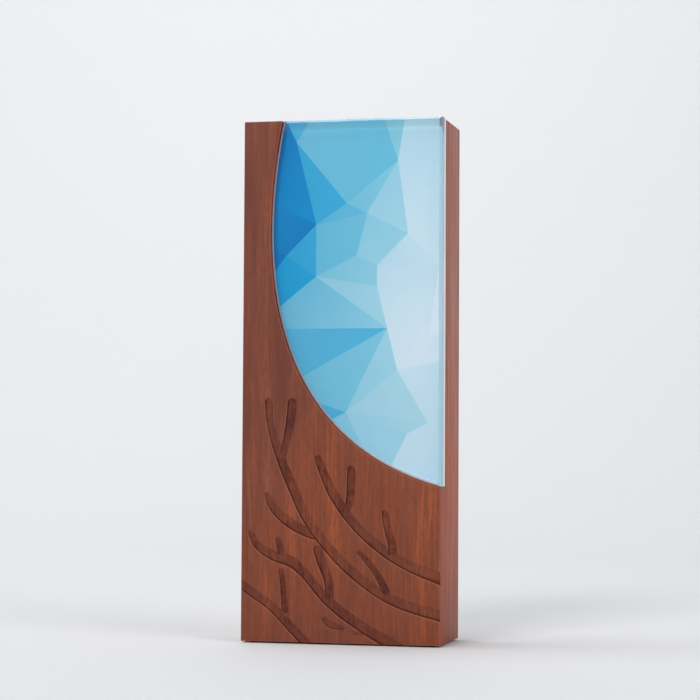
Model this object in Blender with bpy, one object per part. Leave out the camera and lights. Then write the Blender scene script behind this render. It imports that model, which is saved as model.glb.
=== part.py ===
"""Free-standing desk award.

A tall hardwood block stands on a felt pad. Its upper right corner is cut back to a large curve, and a clear
acrylic panel over a printed film and a white backer is taped into that rebate, flush with the block's front.
The front below the panel is carved with branching grooves.

X runs across the front, Y from the front to the back, Z up. The origin is the middle of the footprint, on the
surface that the award stands on. All sizes are in metres.
"""

import math
from bisect import bisect_right

import bmesh
import bpy
from mathutils import Vector
from mathutils.geometry import interpolate_bezier

MM = 0.001

# Hardwood block
BLOCK_WIDTH = 97.0 * MM
BLOCK_DEPTH = 45.5 * MM
BLOCK_HEIGHT = 249.3 * MM
ARRIS = 0.5 * MM  # small round on the block's outer edges

# Curved edge of the rebate: one Bezier curve, from the top of the block down to its right side
SHOULDER_WIDTH = 19.0 * MM  # wood left of the panel, along the top
SILL_HEIGHT = 74.0 * MM  # wood below the panel, at the right side
TOP_HANDLE = Vector((-9.5 * MM, -47.0 * MM))
SILL_HANDLE = Vector((-96.5 * MM, 25.5 * MM))
CURVE_POINTS = 29
CURVE_OVERRUN = 6.0 * MM  # how far the rebate's cutter runs past the block

# Layers in the rebate, from the front to the back
CLEAR_THICKNESS = 6.0 * MM
FILM_THICKNESS = 0.25 * MM
BACKER_THICKNESS = 4.0 * MM
TAPE_THICKNESS = 0.8 * MM
LAYER_GAP = 0.3 * MM  # glue line between one layer and the next
PANEL_CLEARANCE = 0.45 * MM  # between the panel's curved edge and the wood
PANEL_DROP = 0.1 * MM  # the panel has settled this far down in its clearance
POLISHED_EDGE = 0.8 * MM  # chamfer round the clear panel's front
TOP_BEVEL_HEIGHT = 6.0 * MM  # shallow bevel along the clear panel's top edge
TOP_BEVEL_DEPTH = 0.5 * MM

# Strips of double-sided tape behind the backer: how far each one's middle is below the block's top
TAPE_DROPS = {"upper": 22.0 * MM, "middle": 82.0 * MM, "lower": 142.0 * MM}
TAPE_WIDTH = 15.0 * MM
TAPE_MARGIN = 5.0 * MM

# Felt pad in a shallow pocket under the block
PAD_INSET = 3.0 * MM
PAD_THICKNESS = 1.2 * MM
PAD_STAND_OFF = 0.7 * MM  # how far the pad lifts the wood off the surface
PAD_CLEARANCE = 0.3 * MM
PAD_CORNER = 2.0 * MM

# Carved branches: a groove has one deep wall, on its lower left, and a floor that rises to the other edge
GROOVE_DEPTH = 0.75 * MM
GROOVE_SHALLOW = 0.3 * MM
GROOVE_OVERRUN = 1.0 * MM
GROOVE_STATION = 3.0 * MM  # spacing of a groove's cross-sections
TIP_WIDTHS = ((0.0, 0.3), (0.2, 0.62), (0.5, 0.87))  # rounded tip: share of half the width, share of the width
CARVED_FIELD_WIDTH = 97.0 * MM  # the branches are drawn for a front this wide, and stretch with the block

# Stops of each branch in millimetres, drawn from its tip down: across from the left edge, up from the
# block's foot, and the groove's width there
BRANCHES = {
    "tall_trunk": (
        (13, 116, 4.0), (14, 104, 3.5), (18, 91, 4.5), (25, 74, 5.0), (33, 58, 5.0), (43, 45, 5.0),
        (58, 31, 5.0), (74, 21, 5.0), (101, 13, 5.5),
    ),
    "tall_prong": ((25, 116, 4.5), (24, 105, 4.5), (22, 95, 4.0), (20, 87, 3.5)),
    "left_prong": ((12, 71, 3.0), (15, 65, 4.0), (22, 58, 5.0), (31, 53, 5.0), (38, 50, 4.5)),
    "right_trunk": (
        (37, 89, 3.5), (39, 84, 4.0), (45, 71, 5.0), (55, 57, 4.5), (66, 47, 5.0), (80, 38, 5.0), (101, 30, 6.0),
    ),
    "right_prong": ((54, 84, 4.0), (54, 77, 4.5), (53, 66, 4.0), (50, 59, 3.0)),
    "right_twig": ((70, 63, 3.5), (72, 54, 4.0), (74, 46, 4.0), (74, 40, 4.5)),
    "middle_twig": ((57, 44, 2.5), (62, 39, 3.0), (68, 31, 3.5), (72, 23, 4.0)),
    "low_trunk": (
        (4, 53, 3.0), (8, 46, 4.0), (16, 41, 5.0), (25, 38, 5.5), (31, 33, 4.5), (43, 20, 5.0), (58, 9, 5.0),
        (80, -3, 6.0),
    ),
    "low_prong": ((18, 50, 3.0), (19, 46, 3.5), (21, 40, 4.0)),
    "low_twig": ((37, 46, 4.5), (40, 38, 5.0), (43, 30, 4.5), (44, 19, 4.0)),
    "foot_trunk": ((-4, 30, 4.5), (6, 23, 4.5), (15, 17, 4.5), (25, 7, 4.5), (36, -4, 4.5)),
    "foot_twig": ((20, 35, 3.0), (21, 26, 3.0), (22, 13, 3.5)),
    "foot_dash": ((40, 12, 3.0), (44, 9, 3.5), (51, 7, 2.5)),
    "foot_dot": ((55, 5, 2.0), (61, 5, 2.0)),
}

# Places that follow from the sizes
LEFT = -BLOCK_WIDTH / 2
RIGHT = BLOCK_WIDTH / 2
FRONT = -BLOCK_DEPTH / 2
FOOT = PAD_STAND_OFF
TOP = FOOT + BLOCK_HEIGHT
FILM_FRONT = FRONT + CLEAR_THICKNESS + LAYER_GAP
BACKER_FRONT = FILM_FRONT + FILM_THICKNESS + LAYER_GAP
TAPE_FRONT = BACKER_FRONT + BACKER_THICKNESS + LAYER_GAP
REBATE_FLOOR = TAPE_FRONT + TAPE_THICKNESS + LAYER_GAP


def clear_scene():
    for thing in list(bpy.data.objects):
        bpy.data.objects.remove(thing, do_unlink=True)


def material(name, colour, roughness, transmission=0.0):
    """A plain finish: linear colour, roughness and how clear it is."""
    made = bpy.data.materials.new(name)
    made.use_nodes = True
    shader = made.node_tree.nodes["Principled BSDF"]
    shader.inputs["Base Color"].default_value = (*colour, 1.0)
    shader.inputs["Roughness"].default_value = roughness
    shader.inputs["Metallic"].default_value = 0.0
    shader.inputs["Transmission Weight"].default_value = transmission
    return made


def put(name, mesh, place, parent, finish=None):
    """Links a mesh to the scene as one object at a place, under the award's empty."""
    thing = bpy.data.objects.new(name, mesh)
    bpy.context.collection.objects.link(thing)
    thing.location = place
    thing.parent = parent
    if finish:
        mesh.materials.append(finish)
    return thing


def finished(name, bm):
    """Turns a bmesh into a mesh whose faces point out."""
    bmesh.ops.recalc_face_normals(bm, faces=bm.faces)
    mesh = bpy.data.meshes.new(name)
    bm.to_mesh(mesh)
    bm.free()
    return mesh


def box(name, size):
    """A box of this size round its own middle."""
    bm = bmesh.new()
    bmesh.ops.create_cube(bm, size=1.0)
    bmesh.ops.scale(bm, vec=size, verts=bm.verts)
    return finished(name, bm)


def prism(name, outline, thickness):
    """An outline of (across, up) points, extruded back from Y = 0."""
    bm = bmesh.new()
    face = bm.faces.new([bm.verts.new((across, 0.0, up)) for across, up in outline])
    grown = bmesh.ops.extrude_face_region(bm, geom=[face])
    moved = [part for part in grown["geom"] if isinstance(part, bmesh.types.BMVert)]
    bmesh.ops.translate(bm, vec=(0.0, thickness, 0.0), verts=moved)
    return finished(name, bm)


def soften(thing, width, segments):
    """Rounds or chamfers every sharp edge."""
    bevel = thing.modifiers.new("soft_edges", "BEVEL")
    bevel.width = width
    bevel.segments = segments
    bevel.limit_method = "ANGLE"


def cut(thing, cutter):
    """Takes the cutter's shape out of a piece."""
    cutter.hide_render = True
    cutter.display_type = "WIRE"
    boolean = thing.modifiers.new(cutter.name, "BOOLEAN")
    boolean.operation = "DIFFERENCE"
    boolean.solver = "EXACT"
    boolean.object = cutter


def left_of(direction):
    """The unit vector to the left of a direction on the front, which points into the rebate."""
    return Vector((-direction.y, direction.x)).normalized()


def rebate_curve(inset=0.0, drop=0.0):
    """The rebate's curved edge from above the top to past the right side, moved in and down by clearances."""
    top = Vector((LEFT + SHOULDER_WIDTH, TOP))
    sill = Vector((RIGHT, FOOT + SILL_HEIGHT))
    curve = interpolate_bezier(
        top.to_3d(), (top + TOP_HANDLE).to_3d(), (sill + SILL_HANDLE).to_3d(), sill.to_3d(), CURVE_POINTS
    )
    points = [point.to_2d() for point in curve]
    above = points[0] - TOP_HANDLE.normalized() * CURVE_OVERRUN
    beyond = points[-1] - SILL_HANDLE.normalized() * CURVE_OVERRUN
    points = [above, *points, beyond]
    moved = []
    for number, point in enumerate(points):
        before = points[max(number - 1, 0)]
        after = points[min(number + 1, len(points) - 1)]
        moved.append(point + left_of(after - before) * inset - Vector((0.0, drop)))
    return moved


def on_line(start, end, axis, value):
    """The point between two points where one coordinate has a value."""
    share = (value - start[axis]) / (end[axis] - start[axis])
    return start.lerp(end, share)


def panel_outline():
    """The outline that every layer of the panel shares, flush with the block's top and right side."""
    curve = rebate_curve(PANEL_CLEARANCE, PANEL_DROP)
    inside = [point for point in curve if point.y < TOP and point.x < RIGHT]
    first = curve.index(inside[0])
    last = curve.index(inside[-1])
    start = on_line(curve[first - 1], curve[first], 1, TOP)
    end = on_line(curve[last], curve[last + 1], 0, RIGHT)
    return [start, *inside, end, Vector((RIGHT, TOP))]


def rebate_cutter(parent):
    curve = rebate_curve()
    corner = Vector((RIGHT + 2 * CURVE_OVERRUN, TOP + 2 * CURVE_OVERRUN))
    depth = REBATE_FLOOR - FRONT + CURVE_OVERRUN
    mesh = prism("rebate_cutter", [*curve, corner], depth)
    return put("rebate_cutter", mesh, (0.0, FRONT - CURVE_OVERRUN, 0.0), parent)


def pad_cutter(parent):
    width = BLOCK_WIDTH - 2 * PAD_INSET
    depth = BLOCK_DEPTH - 2 * PAD_INSET
    ceiling = PAD_THICKNESS + PAD_CLEARANCE
    mesh = box("pad_cutter", (width, depth, 2 * ceiling))
    return put("pad_cutter", mesh, (0.0, 0.0, 0.0), parent)


def spline(stops):
    """A smooth line through a branch's stops, as (across, up, width) vectors in metres."""
    stretch = BLOCK_WIDTH / CARVED_FIELD_WIDTH
    knots = [Vector((across * stretch, up, width)) * MM for across, up, width in stops]
    knots = [2 * knots[0] - knots[1], *knots, 2 * knots[-1] - knots[-2]]
    steps = 8
    line = []
    for a, b, c, d in zip(knots, knots[1:], knots[2:], knots[3:]):
        for step in range(steps):
            t = step / steps
            bend = (2 * a - 5 * b + 4 * c - d) * t * t + (3 * b - a - 3 * c + d) * t * t * t
            line.append(b + 0.5 * ((c - a) * t + bend))
    return [*line, knots[-2]]


def stations(line):
    """Evenly spaced cross-sections along a groove, with rounded tips: (middle, direction, width)."""
    lengths = [0.0]
    for here, there in zip(line, line[1:]):
        lengths.append(lengths[-1] + (there.xy - here.xy).length)
    whole = lengths[-1]

    def at(distance):
        number = min(max(bisect_right(lengths, distance) - 1, 0), len(line) - 2)
        share = (distance - lengths[number]) / (lengths[number + 1] - lengths[number])
        found = line[number].lerp(line[number + 1], share)
        return found, (line[number + 1] - line[number]).to_2d().normalized()

    first_tip = line[0].z / 2
    last_tip = line[-1].z / 2
    middle = whole - first_tip - last_tip
    spans = max(1, math.ceil(middle / GROOVE_STATION))
    places = [(first_tip * reach, share) for reach, share in TIP_WIDTHS]
    places += [(first_tip + middle * span / spans, 1.0) for span in range(spans + 1)]
    places += [(whole - last_tip * reach, share) for reach, share in reversed(TIP_WIDTHS)]
    rows = []
    for distance, share in places:
        found, direction = at(distance)
        rows.append((found.xy, direction, found.z * share))
    return rows


def groove_cutter(name, stops, parent):
    """A solid that lies along a branch, with its deep wall on the lower left."""
    bm = bmesh.new()
    rings = []
    for middle, direction, width in stations(spline(stops)):
        side = left_of(direction) * width / 2
        low = middle - side
        high = middle + side
        section = (
            (low.x, -GROOVE_OVERRUN, low.y),
            (low.x, GROOVE_DEPTH, low.y),
            (high.x, GROOVE_SHALLOW, high.y),
            (high.x, -GROOVE_OVERRUN, high.y),
        )
        rings.append([bm.verts.new(corner) for corner in section])
    for ring, following in zip(rings, rings[1:]):
        for corner in range(len(ring)):
            turned = (corner + 1) % len(ring)
            bm.faces.new((ring[corner], ring[turned], following[turned], following[corner]))
    bm.faces.new(rings[0])
    bm.faces.new(reversed(rings[-1]))
    return put(name, finished(name, bm), (LEFT, FRONT, FOOT), parent)


def wood_block(parent):
    finish = material("hardwood", (0.235, 0.071, 0.041), 0.42)
    mesh = box("wood_block", (BLOCK_WIDTH, BLOCK_DEPTH, BLOCK_HEIGHT))
    block = put("wood_block", mesh, (0.0, 0.0, FOOT + BLOCK_HEIGHT / 2), parent, finish)
    soften(block, ARRIS, 2)
    cut(block, rebate_cutter(parent))
    cut(block, pad_cutter(parent))
    for name, stops in BRANCHES.items():
        cut(block, groove_cutter(f"{name}_cutter", stops, parent))
    return block


def lean_top_back(mesh):
    """Splits a layer's mesh below its top edge and leans the front above the split back, as a shallow bevel."""
    start = TOP - TOP_BEVEL_HEIGHT
    bm = bmesh.new()
    bm.from_mesh(mesh)
    everything = [*bm.verts, *bm.edges, *bm.faces]
    bmesh.ops.bisect_plane(bm, geom=everything, plane_co=(0.0, 0.0, start), plane_no=(0.0, 0.0, 1.0))
    for vert in bm.verts:
        if vert.co.y < CLEAR_THICKNESS / 2 and vert.co.z > start:
            vert.co.y += TOP_BEVEL_DEPTH * (vert.co.z - start) / TOP_BEVEL_HEIGHT
    bm.to_mesh(mesh)
    bm.free()


def acrylic_panel(parent):
    finish = material("clear_acrylic", (0.93, 0.97, 0.98), 0.03, 1.0)
    mesh = prism("acrylic_panel", panel_outline(), CLEAR_THICKNESS)
    lean_top_back(mesh)
    panel = put("acrylic_panel", mesh, (0.0, FRONT, 0.0), parent, finish)
    soften(panel, POLISHED_EDGE, 1)
    return panel


def printed_film(parent):
    finish = material("printed_film", (0.21, 0.52, 0.70), 0.35)
    mesh = prism("printed_film", panel_outline(), FILM_THICKNESS)
    return put("printed_film", mesh, (0.0, FILM_FRONT, 0.0), parent, finish)


def white_backer(parent):
    finish = material("white_acrylic", (0.80, 0.82, 0.82), 0.30)
    mesh = prism("white_backer", panel_outline(), BACKER_THICKNESS)
    return put("white_backer", mesh, (0.0, BACKER_FRONT, 0.0), parent, finish)


def mounting_tape(parent, name, drop, finish):
    """One strip of tape, from just inside the curve to just inside the right side."""
    middle = TOP - drop
    low = middle - TAPE_WIDTH / 2
    high = middle + TAPE_WIDTH / 2
    curve = panel_outline()[:-1]
    beside = [on_line(a, b, 1, up).x for a, b in zip(curve, curve[1:]) for up in (low, high) if b.y <= up <= a.y]
    beside += [point.x for point in curve if low <= point.y <= high]
    start = max(beside) + TAPE_MARGIN
    end = RIGHT - TAPE_MARGIN
    mesh = box(name, (end - start, TAPE_THICKNESS, TAPE_WIDTH))
    return put(name, mesh, ((start + end) / 2, TAPE_FRONT + TAPE_THICKNESS / 2, middle), parent, finish)


def felt_pad(parent):
    """The pad fills its pocket, less a clearance all round, and has rounded corners."""
    finish = material("felt", (0.012, 0.012, 0.013), 0.95)
    width = BLOCK_WIDTH - 2 * (PAD_INSET + PAD_CLEARANCE)
    depth = BLOCK_DEPTH - 2 * (PAD_INSET + PAD_CLEARANCE)
    bm = bmesh.new()
    bmesh.ops.create_cube(bm, size=1.0)
    bmesh.ops.scale(bm, vec=(width, depth, PAD_THICKNESS), verts=bm.verts)
    upright = [edge for edge in bm.edges if abs(edge.verts[0].co.z - edge.verts[1].co.z) > PAD_THICKNESS / 2]
    bmesh.ops.bevel(bm, geom=upright, offset=PAD_CORNER, segments=4, profile=0.5, affect="EDGES")
    return put("felt_pad", finished("felt_pad", bm), (0.0, 0.0, PAD_THICKNESS / 2), parent, finish)


def build():
    clear_scene()
    award = bpy.data.objects.new("award", None)
    bpy.context.collection.objects.link(award)
    wood_block(award)
    acrylic_panel(award)
    printed_film(award)
    white_backer(award)
    tape = material("tape", (0.60, 0.60, 0.57), 0.70)
    for place, drop in TAPE_DROPS.items():
        mounting_tape(award, f"mounting_tape_{place}", drop, tape)
    felt_pad(award)


build()
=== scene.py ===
# %% [markdown]
# # A desk award in hardwood and clear acrylic
# The real object is a tall block of oiled hardwood. Its upper right corner is cut back to a long curve, and
# a clear sheet over a printed picture and a white backer is taped into that corner, flush with the wood.
# The front below is carved with branching grooves. The CAD model gives every size and place; this lesson
# remakes the wood and the sheets with finer meshes inside the same sizes, and gives each piece its finish.

# %% Load the frame
import math

import bpy
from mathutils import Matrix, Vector
from mathutils.geometry import interpolate_bezier


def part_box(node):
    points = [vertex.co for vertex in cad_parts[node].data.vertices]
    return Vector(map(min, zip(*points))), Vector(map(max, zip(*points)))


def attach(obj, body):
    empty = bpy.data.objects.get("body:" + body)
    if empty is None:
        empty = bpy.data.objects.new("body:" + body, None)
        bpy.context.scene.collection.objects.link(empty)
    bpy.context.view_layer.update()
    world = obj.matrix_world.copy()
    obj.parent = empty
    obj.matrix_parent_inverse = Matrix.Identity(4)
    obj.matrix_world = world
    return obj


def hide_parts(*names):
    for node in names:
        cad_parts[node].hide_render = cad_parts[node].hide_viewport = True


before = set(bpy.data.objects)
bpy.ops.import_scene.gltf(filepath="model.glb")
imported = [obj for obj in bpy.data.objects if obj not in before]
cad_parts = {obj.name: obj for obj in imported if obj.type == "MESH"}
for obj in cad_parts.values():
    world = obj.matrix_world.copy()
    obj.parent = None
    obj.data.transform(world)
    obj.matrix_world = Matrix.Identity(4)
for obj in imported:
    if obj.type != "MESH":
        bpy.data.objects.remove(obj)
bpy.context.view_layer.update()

print("CAD nodes:", sorted(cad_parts))

# %% [markdown]
# ## Sizes that everything else follows
# Positions come from the boxes of the CAD nodes, so the finer pieces sit exactly where the CAD ones do.
# Only the curved edge, the bevels and the chamfers have sizes of their own. Those of the curve repeat the CAD
# model's values, and the chamfers stay close to them.

# %% Sizes in metres
MM = 0.001
block_low, block_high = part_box("wood_block")
film_low, film_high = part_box("printed_film")
backer_low, backer_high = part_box("white_backer")
tape_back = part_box("mounting_tape_upper")[1].y
pad_low, pad_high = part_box("felt_pad")

LEFT, FRONT, FOOT = block_low
RIGHT, _, TOP = block_high
SHOULDER_WIDTH = 19.0 * MM
SILL_HEIGHT = 74.0 * MM
TOP_HANDLE = Vector((-9.5, -47.0)) * MM
SILL_HANDLE = Vector((-96.5, 25.5)) * MM
CURVE_POINTS = 61
PANEL_CLEARANCE = 0.45 * MM
PANEL_DROP = 0.1 * MM
GLUE_LINE = 0.3 * MM
REBATE_FLOOR = tape_back + GLUE_LINE
OVERRUN = 6.0 * MM
SOFT_EDGE = 0.45 * MM
print(f"block {1000 * (block_high - block_low)} mm, rebate {1000 * (REBATE_FLOOR - FRONT):.1f} mm deep")

# %% [markdown]
# ## The camera
# A camera object looks along its own -Z. Standing it up by a little over 90 degrees about X makes it look
# level and slightly up, and turning it about Z makes it look at the award from the right. A long lens from
# a metre away keeps the upright edges nearly parallel.

# %% Camera
CAMERA_PLACE = (0.24376, -1.00533, 0.09159)
CAMERA_TURN = (92.711, -0.319, 13.670)
LENS = 109.7


def add_camera():
    bpy.ops.object.camera_add(location=CAMERA_PLACE, rotation=[math.radians(turn) for turn in CAMERA_TURN])
    camera = bpy.context.object
    camera.name = "camera"
    camera.data.lens = LENS
    bpy.context.scene.camera = camera
    return camera


print("camera at", add_camera().location)

# %% [markdown]
# ## Light and the floor
# A small glossy thing is shown in a pale room, so that its edges have something pale to mirror. The
# floor is one sheet that curves up behind the award. A soft lamp in front, above and a little to the left, is
# the main light. A weaker one at the right fills the shadows, and a third one brightens the wall behind.

# %% Finish of the floor
FLOOR_COLOUR = (0.80, 0.81, 0.83)


def node(tree, kind, inputs=None, **settings):
    """Adds a shader node. An input is either another node's output, which is linked, or a constant."""
    made = tree.nodes.new("ShaderNode" + kind)
    for setting, value in settings.items():
        setattr(made, setting, value)
    for socket, value in (inputs or {}).items():
        if isinstance(value, bpy.types.NodeSocket):
            tree.links.new(value, made.inputs[socket])
        else:
            made.inputs[socket].default_value = value
    return made


def new_finish(name):
    """An empty material: (material, node tree, its output node)."""
    finish = bpy.data.materials.new(name)
    finish.use_nodes = True
    tree = finish.node_tree
    tree.nodes.clear()
    return finish, tree, tree.nodes.new("ShaderNodeOutputMaterial")


def paper_floor():
    """Matt pale paper with a faint cloudiness."""
    finish, tree, output = new_finish("paper_floor")
    place = node(tree, "TexCoord").outputs["Object"]
    cloud = node(tree, "TexNoise", {"Vector": place, "Scale": 3.0, "Detail": 2.0})
    shade = node(tree, "ValToRGB", {"Fac": cloud.outputs["Fac"]})
    shade.color_ramp.elements[0].color = (*(part * 0.985 for part in FLOOR_COLOUR), 1.0)
    shade.color_ramp.elements[1].color = (*FLOOR_COLOUR, 1.0)
    shader = node(tree, "BsdfPrincipled", {"Base Color": shade.outputs["Color"], "Roughness": 0.7})
    tree.links.new(shader.outputs["BSDF"], output.inputs["Surface"])
    return finish


floor_finish = paper_floor()
print("floor finish:", floor_finish.name)

# %% Floor
FLOOR_SIZE = 6.0
FLOOR_MIDDLE = (0.0, -1.0, 0.0)
WALL_HEIGHT = 4.0
FOLD_RADIUS = 1.2


def leave_edit_mode():
    bpy.ops.object.mode_set(mode="OBJECT")


def enter_edit_mode(kind="VERT"):
    bpy.ops.object.mode_set(mode="EDIT")
    bpy.ops.mesh.select_mode(type=kind)


def add_floor():
    """One sheet: flat under the award, then folded up into a wall, with the fold rounded."""
    bpy.ops.mesh.primitive_plane_add(size=FLOOR_SIZE, location=FLOOR_MIDDLE)
    floor = bpy.context.object
    floor.name = "floor"
    bpy.ops.object.transform_apply(location=True, rotation=False, scale=False)
    for edge in floor.data.edges:
        edge.select = all(floor.data.vertices[number].co.y > 0.0 for number in edge.vertices)
    for vert in floor.data.vertices:
        vert.select = vert.co.y > 0.0
    floor.data.polygons[0].select = False
    enter_edit_mode("EDGE")
    bpy.ops.mesh.extrude_region_move(TRANSFORM_OT_translate={"value": (0.0, 0.0, WALL_HEIGHT)})
    leave_edit_mode()
    for edge in floor.data.edges:
        edge.select = all(
            floor.data.vertices[number].co.y > 0.0 and floor.data.vertices[number].co.z < 0.01
            for number in edge.vertices
        )
    enter_edit_mode("EDGE")
    bpy.ops.mesh.bevel(offset=FOLD_RADIUS, segments=16, affect="EDGES")
    leave_edit_mode()
    bpy.ops.object.shade_smooth()
    floor.data.materials.append(floor_finish)
    return floor


bpy.ops.object.select_all(action="DESELECT")
print("floor faces:", len(add_floor().data.polygons))

# %% Lights
WORLD_COLOUR = (0.86, 0.88, 0.91)
WORLD_STRENGTH = 0.27
WHITE = (1.0, 1.0, 1.0)
WARM_WHITE = (1.0, 0.98, 0.96)
AWARD_MIDDLE = (0.0, 0.0, 0.12)
WALL_SPOT = (-0.8, 2.0, 0.6)


def add_lamp(name, place, size, power, colour=WHITE, aim=AWARD_MIDDLE):
    """A square soft lamp that faces the middle of the award, or another point."""
    way = Vector(aim) - Vector(place)
    bpy.ops.object.light_add(type="AREA", location=place, rotation=way.to_track_quat("-Z", "Y").to_euler())
    lamp = bpy.context.object
    lamp.name = name
    lamp.data.shape = "SQUARE"
    lamp.data.size = size
    lamp.data.energy = power
    lamp.data.color = colour
    return lamp


def add_world():
    world = bpy.data.worlds.new("pale_room")
    world.use_nodes = True
    background = world.node_tree.nodes["Background"]
    background.inputs["Color"].default_value = (*WORLD_COLOUR, 1.0)
    background.inputs["Strength"].default_value = WORLD_STRENGTH
    bpy.context.scene.world = world


add_world()
add_lamp("window_lamp", place=(-0.5, -2.35, 1.8), size=1.0, power=34.0, colour=WARM_WHITE)
add_lamp("fill_lamp", place=(1.7, -1.0, 1.0), size=1.2, power=15.0)
add_lamp("wall_lamp", place=(-0.8, 0.2, 2.3), size=1.6, power=33.0, aim=WALL_SPOT)
bpy.context.scene.view_settings.view_transform = "Standard"

# %% [markdown]
# ## The hardwood finish
# Straight-grained reddish hardwood shows many things at once: broad ribbons where the grain leans to and
# fro, growth rings, fine streaks, short dark pores, and a slow change from brown to orange. Nearly all are
# the same kind of pattern, a noise that is stretched along the grain, and the rings are a noise read by the
# distance from the tree's middle. Reading them from Object coordinates makes a solid pattern, so that streaks
# run over an edge from one face to the next, as they do in a real plank.

# %% Colours of the wood, and helpers for patterns
BROWN = (0.150, 0.041, 0.025)
RED_BROWN = (0.282, 0.083, 0.047)
ORANGE_BROWN = (0.390, 0.094, 0.029)
PORE = (0.085, 0.022, 0.015)
# Paler tone: wear on the block's edges, and a painted highlight on the groove lips.
RUBBED_WEAR_AND_HIGHLIGHT = (0.46, 0.20, 0.13)
# Multipliers for the upright faces, a painted reflection of the pale room: warmer at the foot, lighter and
# cooler higher up.
SIDE_LOW_PAINTED_REFLECTION = (1.55, 0.96, 0.38)
SIDE_HIGH_PAINTED_REFLECTION = (1.92, 2.36, 3.00)
# Carved floors darken towards this tint: partly stain, partly painted shade.
CARVED_STAIN_AND_SHADE_TINT = (0.42, 0.32, 0.38)
PITH = Vector((20.0, 95.0, 0.0)) * MM


def stretched(tree, place, stretch):
    """Object coordinates squeezed along the grain, so that a noise on them becomes streaks."""
    return node(tree, "Mapping", {"Vector": place, "Scale": (1.0, 1.0, stretch)}).outputs["Vector"]


def streaks(tree, place, stretch, fineness, detail, seed):
    """A stretched noise: fineness is about the number of streaks in a metre."""
    along = stretched(tree, place, stretch)
    shifted = node(tree, "Mapping", {"Vector": along, "Location": (seed, 2.0 * seed, 0.0)}).outputs["Vector"]
    return node(tree, "TexNoise", {"Vector": shifted, "Scale": fineness, "Detail": detail}).outputs["Fac"]


def spread(tree, value, low, high, to_low=0.0, to_high=1.0):
    """Stretches a value from one range to another and clamps it."""
    inputs = {"Value": value, "From Min": low, "From Max": high, "To Min": to_low, "To Max": to_high}
    return node(tree, "MapRange", inputs).outputs["Result"]


def blend(tree, share, first, second, mode="MIX"):
    """Mixes two colours; each is an output or a constant."""
    made = node(tree, "Mix", data_type="RGBA", blend_type=mode, clamp_factor=True)
    for socket, value in ((made.inputs[0], share), (made.inputs[6], first), (made.inputs[7], second)):
        if isinstance(value, bpy.types.NodeSocket):
            tree.links.new(value, socket)
        elif isinstance(value, tuple):
            socket.default_value = (*value, 1.0)
        else:
            socket.default_value = value
    return made.outputs[2]


def combine(tree, first, second, operation="MULTIPLY"):
    """Multiplies two values, or joins them in another way; each is an output or a constant."""
    return node(tree, "Math", {0: first, 1: second}, operation=operation).outputs[0]


print("the tree's middle is", PITH, "from the award's")

# %% [markdown]
# Three kinds of wood surface need more than the plain pattern. Edges that hands and sandpaper have rubbed are
# paler, and the same paler tone along each groove's lower lip is a painted highlight. The upright sides get a
# painted reflection of the pale room: lighter and cooler towards the top, warmer at the foot. A carved floor
# is darker, partly stain and partly painted shade: in patches and with its depth, and darkest in a painted
# shadow along its steep wall.

# %% Hardwood


def carving_stain_and_shade(tree, place, sides, fine, carved, faded):
    """How much a carved surface darkens, from 0 to about 1: partly stain and partly painted shade, with a
    painted shadow along the steep wall.
    """
    across, back, up = sides
    depth = combine(tree, back, FRONT, "SUBTRACT")
    patches = node(tree, "TexNoise", {"Vector": place, "Scale": 70.0, "Detail": 4.0}).outputs["Fac"]
    # Darker as the cut deepens, over the whole floor: partly stain, partly painted shade.
    stain_and_depth_shade = spread(tree, depth, 0.01 * MM, 0.16 * MM, 0.0, carved)
    stain_and_depth_shade = combine(tree, stain_and_depth_shade, spread(tree, patches, 0.36, 0.62, 0.55, 1.35))
    stain_and_depth_shade = combine(tree, stain_and_depth_shade, spread(tree, fine, 0.35, 0.60, 1.25, 0.80))
    # Painted shadow: a dark line where the cut reaches the score along the steep wall.
    painted_wall_shadow = spread(tree, depth, 0.48 * MM, 0.58 * MM, 0.0, 0.60)
    stain_and_depth_shade = combine(tree, stain_and_depth_shade, spread(tree, up, 40.0 * MM, 110.0 * MM, 1.0, 1.25))
    stain_and_depth_shade = combine(tree, stain_and_depth_shade, spread(tree, across, 0.0, RIGHT, 1.0, faded))
    crumbs = node(tree, "TexNoise", {"Vector": place, "Scale": 480.0, "Detail": 3.0}).outputs["Fac"]
    stain_and_depth_shade = combine(tree, stain_and_depth_shade, spread(tree, crumbs, 0.35, 0.65, 0.72, 1.22))
    return combine(tree, stain_and_depth_shade, painted_wall_shadow, "ADD")


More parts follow.
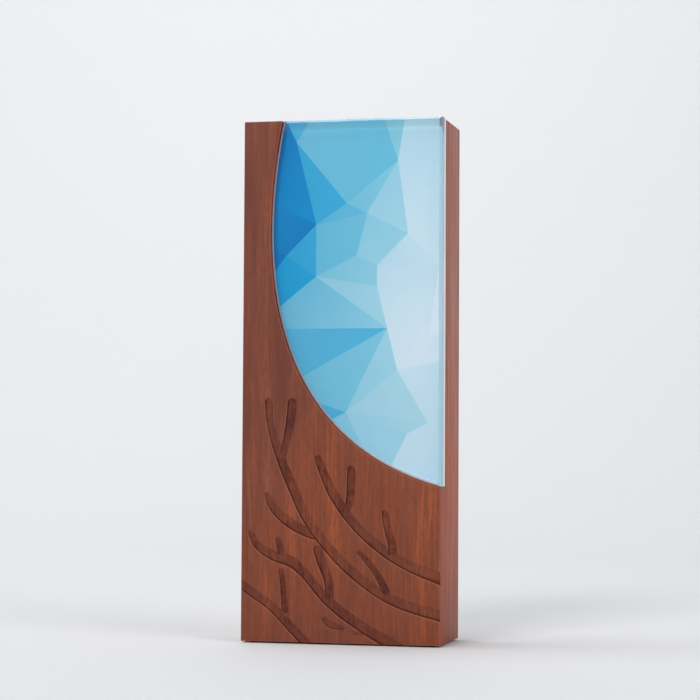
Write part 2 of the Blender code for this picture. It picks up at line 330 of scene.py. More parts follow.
def hardwood(name, wear_and_highlight=0.0, carved=0.0, faded=1.0, side=False):
    """Oiled hardwood and its variants: paler edges (wear, and a painted highlight on groove lips), carving
    (stain and painted shade), upright faces (painted reflection). Carving may fade towards the right.
    """
    finish, tree, output = new_finish(name)
    place = node(tree, "TexCoord").outputs["Object"]
    across, back, up = node(tree, "SeparateXYZ", {"Vector": place}).outputs
    drift = node(tree, "TexNoise", {"Vector": stretched(tree, place, 0.35), "Scale": 26.0, "Detail": 2.0})
    leaning = node(tree, "VectorMath", {0: drift.outputs["Color"], 3: 5.0 * MM}, operation="SCALE").outputs[0]
    grain = node(tree, "VectorMath", {0: place, 1: leaning}, operation="ADD").outputs[0]
    ribbons = streaks(tree, grain, 0.140, 150.0, 4.0, 0.31)
    bands = streaks(tree, grain, 0.050, 420.0, 4.0, 0.93)
    fine = streaks(tree, grain, 0.025, 1500.0, 3.0, 0.77)
    mottle = streaks(tree, grain, 0.350, 700.0, 4.0, 0.61)
    pores = streaks(tree, grain, 0.070, 3000.0, 1.0, 0.13)
    clouds = streaks(tree, place, 0.450, 24.0, 3.0, 0.52)
    level = node(tree, "Mapping", {"Vector": grain, "Scale": (1.0, 1.0, 0.03)}).outputs["Vector"]
    from_pith = node(tree, "VectorMath", {0: level, 1: PITH}, operation="DISTANCE").outputs["Value"]
    ring_noise = {"W": from_pith, "Scale": 420.0, "Detail": 2.0}
    rings = node(tree, "TexNoise", ring_noise, noise_dimensions="1D").outputs["Fac"]

    wood = blend(tree, spread(tree, ribbons, 0.37, 0.61, 0.25, 1.0), BROWN, RED_BROWN)
    rightwards = spread(tree, across, LEFT, RIGHT, -0.15, 0.30)
    downwards = spread(tree, up, TOP, FOOT, -0.35, 0.60)
    cloudy = spread(tree, clouds, 0.32, 0.68, -0.35, 0.45)
    warmth = combine(tree, combine(tree, rightwards, downwards, "ADD"), cloudy, "ADD")
    wood = blend(tree, warmth, wood, ORANGE_BROWN)
    wood = blend(tree, spread(tree, bands, 0.34, 0.58, 0.45, 0.0), wood, BROWN)
    wood = blend(tree, spread(tree, fine, 0.34, 0.60, 0.58, 0.0), wood, BROWN)
    wood = blend(tree, spread(tree, mottle, 0.32, 0.58, 0.42, 0.0), wood, BROWN)
    wood = blend(tree, spread(tree, pores, 0.62, 0.72, 0.0, 0.22), wood, PORE)
    if side:
        # Painted reflection of the pale room on the upright faces: warmer at the foot, lighter and cooler
        # towards the top.
        tint = blend(tree, spread(tree, up, 0.1 * TOP, 0.65 * TOP), SIDE_LOW_PAINTED_REFLECTION, SIDE_HIGH_PAINTED_REFLECTION)
        wood = blend(tree, 1.0, wood, tint, "MULTIPLY")
    wood = blend(tree, spread(tree, rings, 0.40, 0.62, 0.34, 0.0), wood, BROWN)
    wood = blend(tree, spread(tree, up, 60.0 * MM, FOOT, 0.0, 0.36), wood, BROWN)
    # Paler: wear on the block's edges, and a painted highlight on the groove lips.
    if wear_and_highlight:
        wood = blend(tree, wear_and_highlight, wood, RUBBED_WEAR_AND_HIGHLIGHT)
    if carved:
        # Carved floors: darker with stain in patches and with painted shade, and a painted shadow along the
        # steep wall.
        stain_and_shade = carving_stain_and_shade(tree, place, (across, back, up), fine, carved, faded)
        wood = blend(tree, stain_and_shade, wood, blend(tree, 1.0, wood, CARVED_STAIN_AND_SHADE_TINT, "MULTIPLY"))

    grain_height = blend(tree, 0.35, fine, pores)
    bump = node(tree, "Bump", {"Height": grain_height, "Strength": 0.18, "Distance": 0.15 * MM})
    roughness = spread(tree, ribbons, 0.30, 0.70, 0.54 - 0.12 * wear_and_highlight, 0.44 - 0.12 * wear_and_highlight)
    shader = node(tree, "BsdfPrincipled", {
        "Base Color": wood, "Roughness": roughness, "Normal": bump.outputs["Normal"], "IOR": 1.30,
    })
    tree.links.new(shader.outputs["BSDF"], output.inputs["Surface"])
    return finish


oiled_wood = hardwood("oiled_wood")
rubbed_edge = hardwood("rubbed_edge", wear_and_highlight=0.22)
# A painted highlight along each groove's lower lip.
lip_painted_highlight = hardwood("lip_painted_highlight", wear_and_highlight=0.27)
# The upright faces, with a painted reflection of the pale room.
side_wood_painted_reflection = hardwood("side_wood_painted_reflection", side=True)
# Carved floors, darker with stain and painted shade; the twigs darker still.
carved_wood = hardwood("carved_wood", carved=0.56, faded=0.32)
carved_twig = hardwood("carved_twig", carved=0.61)
scorched_twig_and_painted_shade = hardwood("scorched_twig_and_painted_shade", carved=0.78)
print("wood finishes:", oiled_wood.name, rubbed_edge.name, carved_wood.name, side_wood_painted_reflection.name)

# %% [markdown]
# ## The curved edge
# The wood, the clear sheet, the picture and the backer all share one curve. A Bezier curve needs only two
# ends and two handles for it. The panel's own edge is that curve moved in by a clearance, and moved down a
# little, because the sheets have settled in their rebate. Both ends run on past the block, so that what is
# cut with the curve is cut right through.

# %% The curve and the panel's outline


def rebate_curve(inset=0.0, drop=0.0):
    """Points of (across, up) from above the top to past the right side."""
    top = Vector((LEFT + SHOULDER_WIDTH, TOP))
    sill = Vector((RIGHT, FOOT + SILL_HEIGHT))
    handles = [top, top + TOP_HANDLE, sill + SILL_HANDLE, sill]
    curve = interpolate_bezier(*(handle.to_3d() for handle in handles), CURVE_POINTS)
    above = top - TOP_HANDLE.normalized() * OVERRUN
    beyond = sill - SILL_HANDLE.normalized() * OVERRUN
    points = [above, *(point.to_2d() for point in curve), beyond]
    moved = []
    for number, point in enumerate(points):
        run = points[min(number + 1, len(points) - 1)] - points[max(number - 1, 0)]
        inward = Vector((-run.y, run.x)).normalized()
        moved.append(point + inward * inset - Vector((0.0, drop)))
    return moved


def panel_outline():
    """The closed outline that every sheet shares."""
    curve = rebate_curve(PANEL_CLEARANCE, PANEL_DROP)
    inside = [point for point in curve if point.y < TOP and point.x < RIGHT]
    before = curve[curve.index(inside[0]) - 1]
    after = curve[curve.index(inside[-1]) + 1]
    start = before.lerp(inside[0], (before.y - TOP) / (before.y - inside[0].y))
    end = inside[-1].lerp(after, (RIGHT - inside[-1].x) / (after.x - inside[-1].x))
    return [start, *inside, end, Vector((RIGHT, TOP))]


def add_plate(name, outline, front, thickness):
    """A flat sheet of any outline: a filled ring whose corners are moved to the outline, then extruded."""
    bpy.ops.object.select_all(action="DESELECT")
    bpy.ops.mesh.primitive_circle_add(vertices=len(outline), fill_type="NGON")
    plate = bpy.context.object
    plate.name = name
    for vert, point in zip(plate.data.vertices, outline):
        vert.co = (point.x, front, point.y)
    enter_edit_mode("FACE")
    bpy.ops.mesh.select_all(action="SELECT")
    bpy.ops.mesh.extrude_region_move(TRANSFORM_OT_translate={"value": (0.0, thickness, 0.0)})
    bpy.ops.mesh.select_all(action="SELECT")
    bpy.ops.mesh.normals_make_consistent(inside=False)
    leave_edit_mode()
    return plate


print(f"the panel's outline has {len(panel_outline())} corners")

# %% [markdown]
# ## The hardwood block
# A joiner would saw the block, rout the corner away to a template and soften the edges with sandpaper. The
# same order works here: a box, a Boolean with a plate of the curve's shape, then a Bevel modifier. The
# modifier's angle limit leaves the curve's many small corners alone and softens only the real edges, and
# its material setting gives those edges the rubbed finish.

# %% Block
SMOOTH_ANGLE = math.radians(18.0)


def only(piece):
    """Makes one object the selected and active one."""
    bpy.ops.object.select_all(action="DESELECT")
    piece.select_set(True)
    bpy.context.view_layer.objects.active = piece


def add_box(name, low, high):
    bpy.ops.object.select_all(action="DESELECT")
    bpy.ops.mesh.primitive_cube_add(size=1.0, location=(low + high) / 2, scale=high - low)
    box = bpy.context.object
    box.name = name
    bpy.ops.object.transform_apply(location=True, rotation=False, scale=True)
    return box


def apply_modifier(piece, kind, **settings):
    only(piece)
    modifier = piece.modifiers.new(kind.lower(), kind)
    for setting, value in settings.items():
        setattr(modifier, setting, value)
    bpy.ops.object.modifier_apply(modifier=modifier.name)


def cut_away(piece, cutter):
    """Cuts with another object and removes it. The cut faces keep the cutter's material."""
    apply_modifier(piece, "BOOLEAN", object=cutter, solver="EXACT", material_mode="TRANSFER")
    bpy.data.objects.remove(cutter)


def soften(piece, width, segments, material):
    """Rounds the real edges. The material is the number of a slot, or -1 for that of the faces beside."""
    apply_modifier(piece, "BEVEL", width=width, segments=segments, limit_method="ANGLE", material=material)


def add_block():
    block = add_box("hardwood_block", block_low, block_high)
    for finish in (oiled_wood, rubbed_edge):
        block.data.materials.append(finish)
    corner = Vector((RIGHT + 2 * OVERRUN, TOP + 2 * OVERRUN))
    rebate = add_plate("rebate", [*rebate_curve(), corner], FRONT - OVERRUN, REBATE_FLOOR - FRONT + OVERRUN)
    rebate.data.materials.append(oiled_wood)
    cut_away(block, rebate)
    soften(block, SOFT_EDGE, segments=3, material=1)
    pocket_edge = Vector((GLUE_LINE, GLUE_LINE, GLUE_LINE))
    pocket = add_box("pocket", pad_low - pocket_edge, pad_high + pocket_edge)
    pocket.data.materials.append(oiled_wood)
    cut_away(block, pocket)
    # The upright faces get the finish with the painted reflection of the pale room.
    block.data.materials.append(side_wood_painted_reflection)
    side_slot = block.data.materials.find(side_wood_painted_reflection.name)
    for face in block.data.polygons:
        if abs(face.normal.x) > 0.99 and face.center.y > FRONT + SOFT_EDGE and face.material_index == 0:
            face.material_index = side_slot
    return block


block = add_block()
print(f"block: {len(block.data.polygons)} faces")

# %% [markdown]
# ## The carved branches
# Each groove is one pass of a carving tool: a steep wall along its lower left, and a floor that climbs back
# to the surface at its upper right. A curve object can sweep such a section along a line, and the radius at
# each point widens or narrows it, which is what a carver does by leaning on the tool. The section is a
# small closed outline; the lines are flat curves with automatic handles. Each swept shape is turned into a
# mesh and cut out of the front. The section is one unit wide, and a stop of a branch is where it is, across
# and up in millimetres, and how wide the groove is there.

# %% Sections and lines of the grooves
GROOVE_SECTION = (
    (0.60, 0.30), (0.60, 0.00), (0.51, -0.018), (0.485, -0.138), (0.43, -0.142), (0.36, -0.098),
    (0.10, -0.084), (-0.14, -0.068), (-0.34, -0.046), (-0.46, -0.022), (-0.52, 0.00), (-0.52, 0.30),
)
BRANCHES = {
    "tall_trunk": (
        (13, 116, 4.0), (14, 104, 3.5), (18, 91, 4.5), (25, 74, 5.0), (33, 58, 5.0), (43, 45, 5.0),
        (58, 31, 5.0), (74, 21, 5.0), (101, 13, 5.5),
    ),
    "tall_prong": ((25, 116, 4.5), (24, 105, 4.5), (22, 95, 4.0), (20, 87, 3.5)),
    "left_prong": ((12, 71, 3.0), (15, 65, 4.0), (22, 58, 5.0), (31, 53, 5.0), (38, 50, 4.5)),
    "right_trunk": (
        (37, 89, 3.5), (39, 84, 4.0), (45, 71, 5.0), (55, 57, 4.5), (66, 47, 5.0), (80, 38, 5.0),
        (101, 30, 6.0),
    ),
    "right_prong": ((54, 84, 4.0), (54, 77, 4.5), (53, 66, 4.0), (50, 59, 3.0)),
    "right_twig": ((70, 63, 3.5), (72, 54, 4.0), (74, 46, 4.0), (74, 40, 4.5)),
    "middle_twig": ((57, 44, 2.5), (62, 39, 3.0), (68, 31, 3.5), (72, 23, 4.0)),
    "low_trunk": (
        (4, 53, 3.0), (8, 46, 4.0), (16, 41, 5.0), (25, 38, 5.5), (31, 33, 4.5), (43, 20, 5.0), (58, 9, 5.0),
        (80, -3, 6.0),
    ),
    "low_prong": ((18, 50, 3.0), (19, 46, 3.5), (21, 40, 4.0)),
    "low_twig": ((37, 46, 4.5), (40, 38, 5.0), (43, 30, 4.5), (44, 19, 4.0)),
    "foot_trunk": ((-4, 30, 4.5), (6, 23, 4.5), (15, 17, 4.5), (25, 7, 4.5), (36, -4, 4.5)),
    "foot_twig": ((20, 35, 3.0), (21, 26, 3.0), (22, 13, 3.5)),
    "foot_dash": ((40, 12, 3.0), (44, 9, 3.5), (51, 7, 2.5)),
    "foot_dot": ((55, 5, 2.0), (61, 5, 2.0)),
}
TIP_SHAPE = ((0.0, 0.25), (0.3, 0.72), (1.0, 1.0))


def add_section():
    """The groove's section as a closed curve of straight runs, one unit wide."""
    bpy.ops.object.select_all(action="DESELECT")
    bpy.ops.mesh.primitive_circle_add(vertices=len(GROOVE_SECTION))
    section = bpy.context.object
    for vert, (across, out) in zip(section.data.vertices, GROOVE_SECTION):
        vert.co = (across, out, 0.0)
    bpy.ops.object.convert(target="CURVE")
    return section


def rounded_tips(stops):
    """Adds a narrow stop just before each end, so that the tips of a groove are round."""
    ends = []
    for end, following in ((stops[0], stops[1]), (stops[-1], stops[-2])):
        tip = Vector(end)
        inward = (Vector(following) - tip).xy.normalized()
        reach = tip.z / 2
        ends.append([(*(tip.xy + inward * reach * part), tip.z * width) for part, width in TIP_SHAPE])
    return [*ends[0], *stops[1:-1], *reversed(ends[1])]


section = add_section()
print(f"{len(BRANCHES)} branches and a section of {len(section.data.splines[0].points)} corners")

# %% Carve the branches
TWIG_FINISHES = {
    **dict.fromkeys(("tall_prong", "right_prong", "low_prong"), carved_twig),
    **dict.fromkeys(("right_twig", "middle_twig", "low_twig", "foot_twig"), scorched_twig_and_painted_shade),
}
GROOVE_WELD = 0.001 * MM


def add_groove(name, stops, section):
    """Sweeps the section along a branch, stands the result up against the front, and makes it a mesh."""
    bpy.ops.object.select_all(action="DESELECT")
    bpy.ops.curve.primitive_bezier_curve_add(enter_editmode=True)
    groove = bpy.context.object
    groove.name = name
    bpy.ops.curve.select_all(action="SELECT")
    bpy.ops.curve.delete(type="VERT")
    for across, up, width in stops:
        bpy.ops.curve.vertex_add(location=(across * MM, up * MM, 0.0))
    bpy.ops.curve.select_all(action="SELECT")
    bpy.ops.curve.handle_type_set(type="AUTOMATIC")
    leave_edit_mode()
    for point, (across, up, width) in zip(groove.data.splines[0].bezier_points, stops):
        point.radius = width * MM
    groove.data.dimensions = "2D"
    groove.data.resolution_u = 10
    groove.data.bevel_mode = "OBJECT"
    groove.data.bevel_object = section
    groove.data.use_fill_caps = True
    bpy.ops.object.convert(target="MESH")
    groove.location = (LEFT, FRONT, FOOT)
    groove.rotation_euler.x = math.radians(90.0)
    bpy.ops.object.transform_apply(location=True, rotation=True, scale=True)
    enter_edit_mode()
    bpy.ops.mesh.select_all(action="SELECT")
    bpy.ops.mesh.remove_doubles(threshold=GROOVE_WELD)
    bpy.ops.mesh.normals_make_consistent(inside=False)
    leave_edit_mode()
    groove.data.materials.append(TWIG_FINISHES.get(name, carved_wood))
    groove.data.materials.append(lip_painted_highlight)
    # Lip faces along the steep wall get the paler finish, a painted highlight.
    for face in groove.data.polygons:
        lip = face.normal.y > 0.6 and face.normal.x + face.normal.z < -0.15
        face.material_index = 1 if lip else 0
    return groove


for name, stops in BRANCHES.items():
    groove = add_groove(name, rounded_tips(stops), section)
    cut_away(block, groove)
bpy.data.objects.remove(section)
only(block)
bpy.ops.object.shade_smooth_by_angle(angle=SMOOTH_ANGLE)
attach(block, "root")
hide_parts("wood_block")
print(f"carved block: {len(block.data.polygons)} faces, {len(block.data.materials)} finishes")

# %% [markdown]
# ## The clear sheet
# Clear acrylic is glass to the renderer: it bends what lies behind it and mirrors a little at a slant. Its
# polished chamfer is an opaque pale finish, a painted highlight that is paler towards the lower right, and
# its sawn curved side is an opaque dark blue, painted shade that pales towards the lower right. The right
# side is tinted teal and mixed with a diffuse tone, a painted reflection of the print; the top end of that
# side is an opaque blue-grey, painted shade; and the top band is tinted grey, painted shade, with a faint
# painted grey reflection.
# Light from a lamp would have to find its way through the sheet to reach the picture, which is slow to
# render, so a Light Path node lets shadow rays pass straight through. The sheet takes in the glue line
# behind it, because glued faces have no air between them that could mirror.

# %% Finishes of the clear sheet


def clear_finish(name, tint, roughness, painted_reflection=0.0, painted_reflection_tone=(0.75, 0.75, 0.76)):
    """Glass that lets shadow rays through, with faint rubbing marks, and perhaps a painted reflection mixed
    in as a diffuse tone.
    """
    finish, tree, output = new_finish(name)
    place = node(tree, "TexCoord").outputs["Object"]
    haze = node(tree, "TexNoise", {"Vector": place, "Scale": 45.0, "Detail": 3.0}).outputs["Fac"]
    marks = spread(tree, haze, 0.35, 0.75, roughness, roughness + 0.03)
    glass = node(tree, "BsdfGlass", {"Color": (*tint, 1.0), "Roughness": marks, "IOR": 1.49})
    through = node(tree, "BsdfTransparent", {"Color": (*tint, 1.0)})
    shadow = node(tree, "LightPath").outputs["Is Shadow Ray"]
    with_painted_reflection = glass
    if painted_reflection:
        # A painted reflection: a diffuse tone mixed into the glass.
        milk_and_painted_reflection = node(tree, "BsdfDiffuse", {"Color": (*painted_reflection_tone, 1.0)})
        with_painted_reflection = node(tree, "MixShader", {0: painted_reflection, 1: glass.outputs[0], 2: milk_and_painted_reflection.outputs[0]})
    mixed = node(tree, "MixShader", {0: shadow, 1: with_painted_reflection.outputs[0], 2: through.outputs[0]})
    tree.links.new(mixed.outputs[0], output.inputs["Surface"])
    return finish


def edge_finish(name, upper_left, lower_right, roughness):
    """An opaque sawn or polished edge whose tone, painted light and shade, changes along the curve, with fine
    saw marks.
    """
    finish, tree, output = new_finish(name)
    place = node(tree, "TexCoord").outputs["Object"]
    across, _, up = node(tree, "SeparateXYZ", {"Vector": place}).outputs
    along = spread(tree, across, LEFT + 20.0 * MM, RIGHT - 10.0 * MM)
    saw = node(tree, "TexNoise", {"Vector": place, "Scale": 1400.0, "Detail": 2.0}).outputs["Fac"]
    tone = blend(tree, along, upper_left, lower_right)
    darker = blend(tree, 1.0, tone, (0.82, 0.84, 0.88), "MULTIPLY")
    tone = blend(tree, spread(tree, saw, 0.35, 0.65), darker, tone)
    bump = node(tree, "Bump", {"Height": saw, "Strength": 0.25, "Distance": 0.05 * MM})
    shader = node(tree, "BsdfPrincipled", {
        "Base Color": tone, "Roughness": roughness, "Normal": bump.outputs["Normal"],
    })
    through = node(tree, "BsdfTransparent")
    shadow = node(tree, "LightPath").outputs["Is Shadow Ray"]
    mixed = node(tree, "MixShader", {0: shadow, 1: shader.outputs[0], 2: through.outputs[0]})
    tree.links.new(mixed.outputs[0], output.inputs["Surface"])
    return finish


PANEL_FINISHES = {
    "clear": clear_finish("clear_acrylic", (0.99, 0.99, 0.985), 0.0),
    # Painted reflection: the right side's teal tint and diffuse tone stand for the print seen through it.
    "side": clear_finish("clear_side_painted_reflection", (0.78, 0.90, 0.94), 0.05, painted_reflection=0.6, painted_reflection_tone=(0.45, 0.61, 0.71)),
    # Painted highlight: the chamfer is opaque and pale, paler towards the lower right.
    "chamfer": edge_finish("polished_chamfer_painted_highlight", (0.40, 0.38, 0.46), (0.92, 0.93, 0.94), 0.25),
    # Painted shade: the sawn curved side is opaque dark blue at the upper left, paler towards the lower
    # right.
    "sawn": edge_finish("sawn_side_painted_shade", (0.022, 0.060, 0.150), (0.40, 0.56, 0.64), 0.45),
    # Painted shade: the top band's grey tint darkens it, and its faint grey diffuse tone is a painted
    # reflection.
    "bevel": clear_finish("top_bevel_painted_shade", (0.87, 0.89, 0.89), 0.02, painted_reflection=0.035),
    # Painted shade: the top end of the right side is opaque blue-grey.
    "painted_shade_end": edge_finish("top_end_painted_shade", (0.20, 0.22, 0.30), (0.20, 0.22, 0.30), 0.30),
}
CHAMFER = 1.1 * MM
TOP_BEVEL_HEIGHT = 6.0 * MM
TOP_BEVEL_DEPTH = 0.5 * MM
BONDED = 0.03 * MM
SAME_HEIGHT = 0.01 * MM
print("clear sheet finishes:", list(PANEL_FINISHES))

# %% [markdown]
# The sheet itself is a plate of the shared outline. A bisect splits it 6 mm below its top, and the front
# edge above the split is pushed back, which makes the shallow bevel. Then the chamfer goes round the front,
# and the split's own edge is left out of it. Each face gets its finish by where it is and which way it looks.

# %% Clear sheet


def finish_of(face):
    """Which finish a face of the clear sheet has."""
    in_the_band = face.center.z > TOP - TOP_BEVEL_HEIGHT
    if face.normal.x > 0.5:
        return "painted_shade_end" if in_the_band else "side"
    if face.normal.y < -0.9 and in_the_band:
        return "bevel"
    if abs(face.normal.y) > 0.9 or face.normal.z > 0.5:
        return "clear"
    return "chamfer" if face.normal.y < -0.1 else "sawn"


def add_clear_sheet():
    thickness = film_low.y + BONDED - FRONT
    sheet = add_plate("clear_sheet", panel_outline(), FRONT, thickness)
    start = TOP - TOP_BEVEL_HEIGHT
    enter_edit_mode()
    bpy.ops.mesh.select_all(action="SELECT")
    bpy.ops.mesh.bisect(plane_co=(0.0, 0.0, start), plane_no=(0.0, 0.0, 1.0))
    leave_edit_mode()
    for vert in sheet.data.vertices:
        if vert.co.y < FRONT + thickness / 2:
            vert.co.y += TOP_BEVEL_DEPTH * max(0.0, vert.co.z - start) / TOP_BEVEL_HEIGHT
    for edge in sheet.data.edges:
        ends = [sheet.data.vertices[number] for number in edge.vertices]
        in_front = all(end.co.y < FRONT + thickness / 2 for end in ends)
        edge.select = in_front and not all(abs(end.co.z - start) < SAME_HEIGHT for end in ends)
    enter_edit_mode("EDGE")
    bpy.ops.mesh.bevel(offset=CHAMFER, segments=1, affect="EDGES")
    leave_edit_mode()
    names = list(PANEL_FINISHES)
    for finish in PANEL_FINISHES.values():
        sheet.data.materials.append(finish)
    for face in sheet.data.polygons:
        face.material_index = names.index(finish_of(face))
    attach(sheet, "root")
    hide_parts("acrylic_panel")
    return sheet


clear_sheet = add_clear_sheet()
print(f"clear sheet: {len(clear_sheet.data.polygons)} faces")

# %% [markdown]
# ## The printed picture
# The picture is a field of flat facets in blues, darkest at the upper left and nearly white at the right,
# and each facet shades softly from one side to the other. Facets are real faces here, so their borders are
# perfectly sharp at any distance. Their corners lie on a 5 mm grid, across from the block's left side and up
# from the table, and each facet has a strength of ink, from 0 to 100, at its first corner and another at the
# corner farthest away. A short ramp of inks turns a strength into a tone. Each facet is a filled ring with
# its corners moved into place, and a colour attribute stores a tone at every corner; the tones between them
# blend by themselves. The facets run past the edge of the sheet, and a bisect along each run of the outline
# trims them.

# %% Corners and facets of the picture
CORNERS = {
    "A0": (15, 260), "A1": (20, 250), "A2": (35, 255), "A3": (25, 240), "A4": (35, 200), "A5": (50, 210),
    "A6": (60, 205), "A7": (75, 230), "A8": (65, 260), "A9": (80, 260), "B0": (80, 195), "B1": (65, 180),
    "B2": (65, 170), "B3": (55, 185), "B4": (35, 175), "B5": (20, 185), "B6": (5, 215), "B7": (5, 195),
    "B8": (5, 165), "B9": (10, 155), "C0": (15, 150), "C1": (70, 150), "C2": (25, 125), "C3": (95, 180),
    "C4": (75, 130), "C5": (50, 110), "C6": (90, 105), "C7": (80, 100), "C8": (35, 115), "C9": (60, 90),
    "D0": (70, 80), "D1": (40, 105), "D2": (90, 145), "L0": (5, 260), "L1": (5, 155), "L2": (15, 125),
    "L3": (25, 105), "L4": (40, 80), "L5": (60, 65), "R0": (100, 260), "R1": (100, 185), "R2": (100, 175),
    "R3": (100, 150), "R4": (100, 135), "R5": (100, 65),
}
FACETS = (
    ("A1 A3 A4 B6 L0 A0", 94, 87), ("A0 A2 A3 A1", 70, 57), ("A4 B5 B7 B6", 96, 85), ("B5 B8 B7", 95, 100),
    ("B4 B9 L1 B8 B5", 76, 81), ("B5 B4 A4", 70, 64), ("A3 A5 A4", 66, 65), ("A3 A2 A8 A7 A5", 46, 49),
    ("A4 A5 A6", 54, 50), ("A4 A6 B3 B4", 49, 45), ("A5 A7 A6", 43, 39), ("A8 A9 A7", 41, 36),
    ("A7 B0 A6", 33, 26), ("A6 B0 B1 B3", 36, 32), ("B4 B3 B1 B2", 41, 36), ("B4 B2 C1", 33, 27),
    ("B4 C1 C0 B9", 47, 35), ("C1 C2 L2 C0", 58, 53), ("C2 C1 C5 C8 L3 L2", 46, 41), ("C5 C4 C1", 34, 28),
    ("A9 R0 R1 C3 B0 A7", 24, 7), ("B1 B0 C3", 21, 10), ("C3 R1 R2", 7, 5), ("B1 C3 D2 C1 B2", 18, 5),
    ("C3 R2 R3 D2", 4, 0), ("C1 D2 R3 R4 C4", 9, 3), ("C5 C6 C4", 28, 24), ("C5 C7 C6", 31, 25),
    ("C5 C9 L5 D0 C7", 31, 27), ("C8 C5 D1 L3", 56, 58), ("C5 C9 L4 D1", 38, 36),
    ("C4 R4 R5 L5 D0 C7 C6", 11, 17),
)
INKS = (
    (0, (219, 226, 235)), (20, (178, 209, 223)), (40, (126, 192, 213)), (60, (70, 168, 208)),
    (80, (18, 154, 206)), (90, (0, 134, 194)), (100, (0, 112, 182)),
)
FACET_WELD = 0.01 * MM
print(f"{len(FACETS)} facets on {len(CORNERS)} corners, in {len(INKS)} inks")

# %% Facets


def ink(strength):
    """The tone of a strength of ink, from 0, bare film, to 100, the deepest blue."""
    for (low, pale), (high, deep) in zip(INKS, INKS[1:]):
        if strength <= high:
            share = (strength - low) / (high - low)
            return [a + (b - a) * share for a, b in zip(pale, deep)]


def linear(tone):
    """A tone as a painter's program shows it, from 0 to 255, in the renderer's linear numbers."""
    return [((part / 255 + 0.055) / 1.055) ** 2.4 for part in tone]


def add_facet(corners, first_ink, last_ink):
    """One facet. Its ink runs from its first corner to the corner farthest from that."""
    bpy.ops.object.select_all(action="DESELECT")
    bpy.ops.mesh.primitive_circle_add(vertices=len(corners), fill_type="NGON")
    facet = bpy.context.object
    places = [Vector((LEFT + CORNERS[corner][0] * MM, CORNERS[corner][1] * MM)) for corner in corners]
    for vert, place in zip(facet.data.vertices, places):
        vert.co = (place.x, film_low.y, place.y)
    run = max((place - places[0] for place in places), key=lambda way: way.length)
    tones = facet.data.color_attributes.new("Tone", "FLOAT_COLOR", "CORNER")
    first, last = linear(ink(first_ink)), linear(ink(last_ink))
    for loop in facet.data.loops:
        share = (places[loop.vertex_index] - places[0]).dot(run) / run.length_squared
        mixed = [a + (b - a) * min(max(share, 0.0), 1.0) for a, b in zip(first, last)]
        tones.data[loop.index].color = (*mixed, 1.0)
    return facet


def trim_to(piece, outline):
    """Cuts a flat piece back to an outline that bulges everywhere, one straight run at a time."""
    only(piece)
    enter_edit_mode()
    middle = sum(outline, Vector((0.0, 0.0))) / len(outline)
    for here, there in zip(outline, [*outline[1:], outline[0]]):
        run = there - here
        outward = Vector((run.y, -run.x)).normalized()
        if outward.dot(here - middle) < 0.0:
            outward.negate()
        bpy.ops.mesh.select_all(action="SELECT")
        plane = {"plane_co": (here.x, 0.0, here.y), "plane_no": (outward.x, 0.0, outward.y)}
        bpy.ops.mesh.bisect(**plane, clear_outer=True)
    leave_edit_mode()


print("a facet of half strength is", [round(part) for part in ink(50)])

# %% Picture


def print_finish():
    """Ink on film: the facets' tones, a faint mottle, and a soft gloss."""
    finish, tree, output = new_finish("printed_film")
    tone = node(tree, "VertexColor", layer_name="Tone").outputs["Color"]
    place = node(tree, "TexCoord").outputs["Object"]
    mottle = node(tree, "TexNoise", {"Vector": place, "Scale": 160.0, "Detail": 3.0}).outputs["Fac"]
    lighter = blend(tree, 1.0, tone, (0.96, 0.98, 0.99), "MULTIPLY")
    printed = blend(tree, spread(tree, mottle, 0.3, 0.7), lighter, tone)
    bump = node(tree, "Bump", {"Height": mottle, "Strength": 0.05, "Distance": 0.02 * MM})
    inputs = {"Base Color": printed, "Roughness": 0.6, "Normal": bump.outputs["Normal"], "IOR": 1.2}
    shader = node(tree, "BsdfPrincipled", inputs)
    tree.links.new(shader.outputs["BSDF"], output.inputs["Surface"])
    return finish


def add_picture():
    facets = [add_facet(corners.split(), first, last) for corners, first, last in FACETS]
    for facet in facets:
        facet.select_set(True)
    bpy.context.view_layer.objects.active = facets[0]
    bpy.ops.object.join()
    picture = bpy.context.object
    picture.name = "printed_picture"
    trim_to(picture, panel_outline())
    enter_edit_mode()
    bpy.ops.mesh.select_all(action="SELECT")
    bpy.ops.mesh.remove_doubles(threshold=FACET_WELD)
    bpy.ops.mesh.extrude_region_move(TRANSFORM_OT_translate={"value": (0.0, film_high.y - film_low.y, 0.0)})
    bpy.ops.mesh.select_all(action="SELECT")
    bpy.ops.mesh.normals_make_consistent(inside=False)
    leave_edit_mode()
    picture.data.materials.append(print_finish())
    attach(picture, "root")
    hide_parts("printed_film")
    return picture


picture = add_picture()
print(f"picture: {len(picture.data.polygons)} faces")

# %% [markdown]
# ## Backer, tape and felt
# These three hardly show, but their edges do. The backer is milky white acrylic with polished edges, so
# it gets a little light scattering under its surface. The tape is grey foam, which is full of tiny dents.
# The felt is matt black wool with loose fibres, and its fuzz catches a rim of light, which is what sheen is.

# %% Finishes of the backer, the tape and the felt


def milky_acrylic():
    finish, tree, output = new_finish("milky_acrylic")
    place = node(tree, "TexCoord").outputs["Object"]
    cloud = node(tree, "TexNoise", {"Vector": place, "Scale": 90.0, "Detail": 3.0}).outputs["Fac"]
    milk_and_painted_reflection = blend(tree, spread(tree, cloud, 0.3, 0.7), (0.74, 0.77, 0.78), (0.84, 0.86, 0.86))
    saw = streaks(tree, place, 0.02, 1500.0, 2.0, 0.4)
    bump = node(tree, "Bump", {"Height": saw, "Strength": 0.12, "Distance": 0.05 * MM})
    shader = node(tree, "BsdfPrincipled", {
        "Base Color": milk_and_painted_reflection, "Roughness": spread(tree, saw, 0.3, 0.7, 0.22, 0.34),
        "Normal": bump.outputs["Normal"], "Subsurface Weight": 0.3, "Subsurface Scale": 0.8 * MM,
    })
    tree.links.new(shader.outputs["BSDF"], output.inputs["Surface"])
    return finish


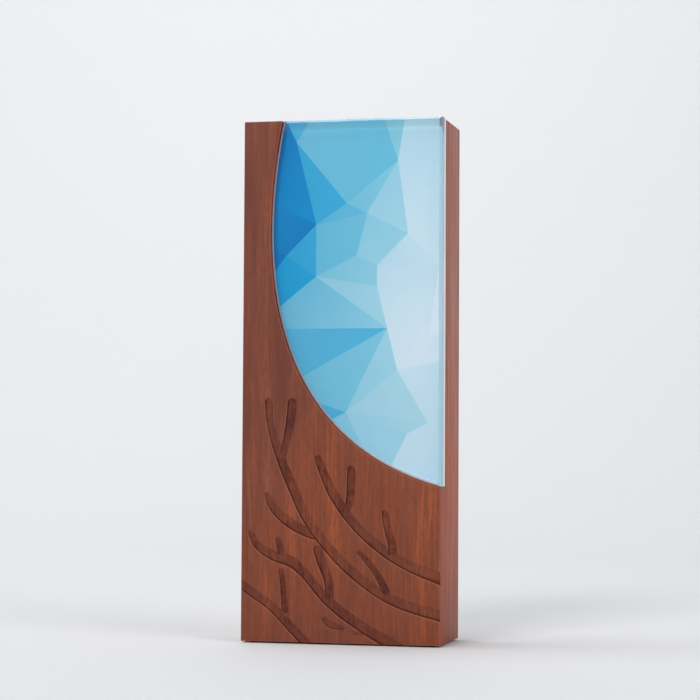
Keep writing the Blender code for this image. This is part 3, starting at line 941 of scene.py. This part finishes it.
def foam_tape():
    finish, tree, output = new_finish("foam_tape")
    place = node(tree, "TexCoord").outputs["Object"]
    cells = node(tree, "TexVoronoi", {"Vector": place, "Scale": 3500.0}).outputs["Distance"]
    foam = blend(tree, spread(tree, cells, 0.1, 0.6), (0.34, 0.34, 0.32), (0.60, 0.60, 0.57))
    bump = node(tree, "Bump", {"Height": cells, "Strength": 0.6, "Distance": 0.1 * MM})
    inputs = {"Base Color": foam, "Roughness": 0.8, "Normal": bump.outputs["Normal"]}
    shader = node(tree, "BsdfPrincipled", inputs)
    tree.links.new(shader.outputs["BSDF"], output.inputs["Surface"])
    return finish


def black_felt():
    finish, tree, output = new_finish("black_felt")
    place = node(tree, "TexCoord").outputs["Object"]
    tangle = {"Vector": place, "Scale": 1800.0, "Detail": 6.0, "Distortion": 1.5}
    fibres = node(tree, "TexNoise", tangle).outputs["Fac"]
    wool = blend(tree, spread(tree, fibres, 0.35, 0.7), (0.006, 0.006, 0.007), (0.030, 0.029, 0.030))
    bump = node(tree, "Bump", {"Height": fibres, "Strength": 0.8, "Distance": 0.2 * MM})
    shader = node(tree, "BsdfPrincipled", {
        "Base Color": wool, "Roughness": 0.95, "Normal": bump.outputs["Normal"],
        "Sheen Weight": 0.3, "Sheen Roughness": 0.5,
    })
    tree.links.new(shader.outputs["BSDF"], output.inputs["Surface"])
    return finish


milky_finish, tape_finish, felt_finish = milky_acrylic(), foam_tape(), black_felt()
print("finishes:", milky_finish.name, tape_finish.name, felt_finish.name)

# %% Backer, tape and felt
BACKER_EDGE = 0.2 * MM


def add_backer():
    backer = add_plate("milky_backer", panel_outline(), backer_low.y, backer_high.y - backer_low.y)
    soften(backer, BACKER_EDGE, segments=2, material=-1)
    backer.data.materials.append(milky_finish)
    only(backer)
    bpy.ops.object.shade_smooth_by_angle(angle=SMOOTH_ANGLE)
    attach(backer, "root")
    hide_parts("white_backer")
    return backer


def refinish(name, finish):
    """A CAD piece whose shape is right keeps its mesh and gets a better material."""
    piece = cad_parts[name]
    piece.data.materials.clear()
    piece.data.materials.append(finish)


backer = add_backer()
for name in ("mounting_tape_upper", "mounting_tape_middle", "mounting_tape_lower"):
    refinish(name, tape_finish)
refinish("felt_pad", felt_finish)
print(f"backer: {len(backer.data.polygons)} faces")
